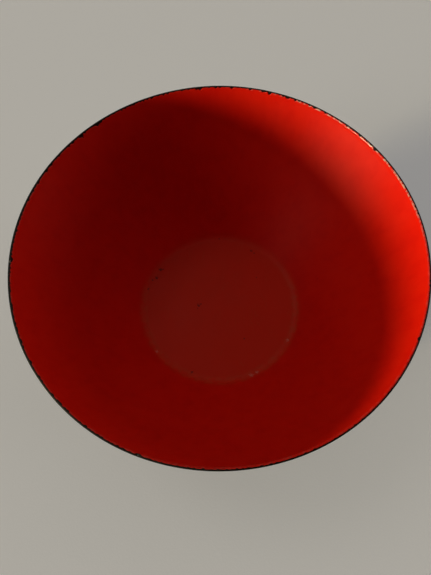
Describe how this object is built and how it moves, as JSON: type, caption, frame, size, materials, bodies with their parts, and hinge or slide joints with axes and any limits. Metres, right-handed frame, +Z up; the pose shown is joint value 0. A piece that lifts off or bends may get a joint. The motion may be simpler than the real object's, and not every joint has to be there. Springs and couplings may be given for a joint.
{
  "type": "enamelled steel bowl",
  "caption": "Round kitchen and serving bowl of enamelled sheet steel: flat base, flared wall, red inside, black outside and over the thin rim.",
  "frame": {"origin": "middle of the base, on the plane that the standing ring rests on", "axes": "+Z up, along the bowl's axis of revolution and out of its mouth; X and Y are alike on the round body"},
  "size_m": [0.25, 0.25, 0.11],
  "materials": {
    "sheet_steel": "bare low-carbon enamelling steel, dark and dull, seen only where the coats are chipped",
    "black_enamel": "semi-matt black vitreous enamel with a faint pebbled surface, polished a little where hands and the table touch it",
    "ground_enamel": "blue-black ground coat enamel, glossy, seen only at the upper edge of the red and in chips",
    "red_enamel": "red vitreous enamel, soft gloss, rounded upper edge, fine wear and a few pits round the base"
  },
  "bodies": {
    "root": {"steel_shell": "sheet_steel", "outer_black_enamel": "black_enamel", "inner_ground_coat": "ground_enamel", "inner_red_enamel": "red_enamel"}
  },
  "joints": []
}
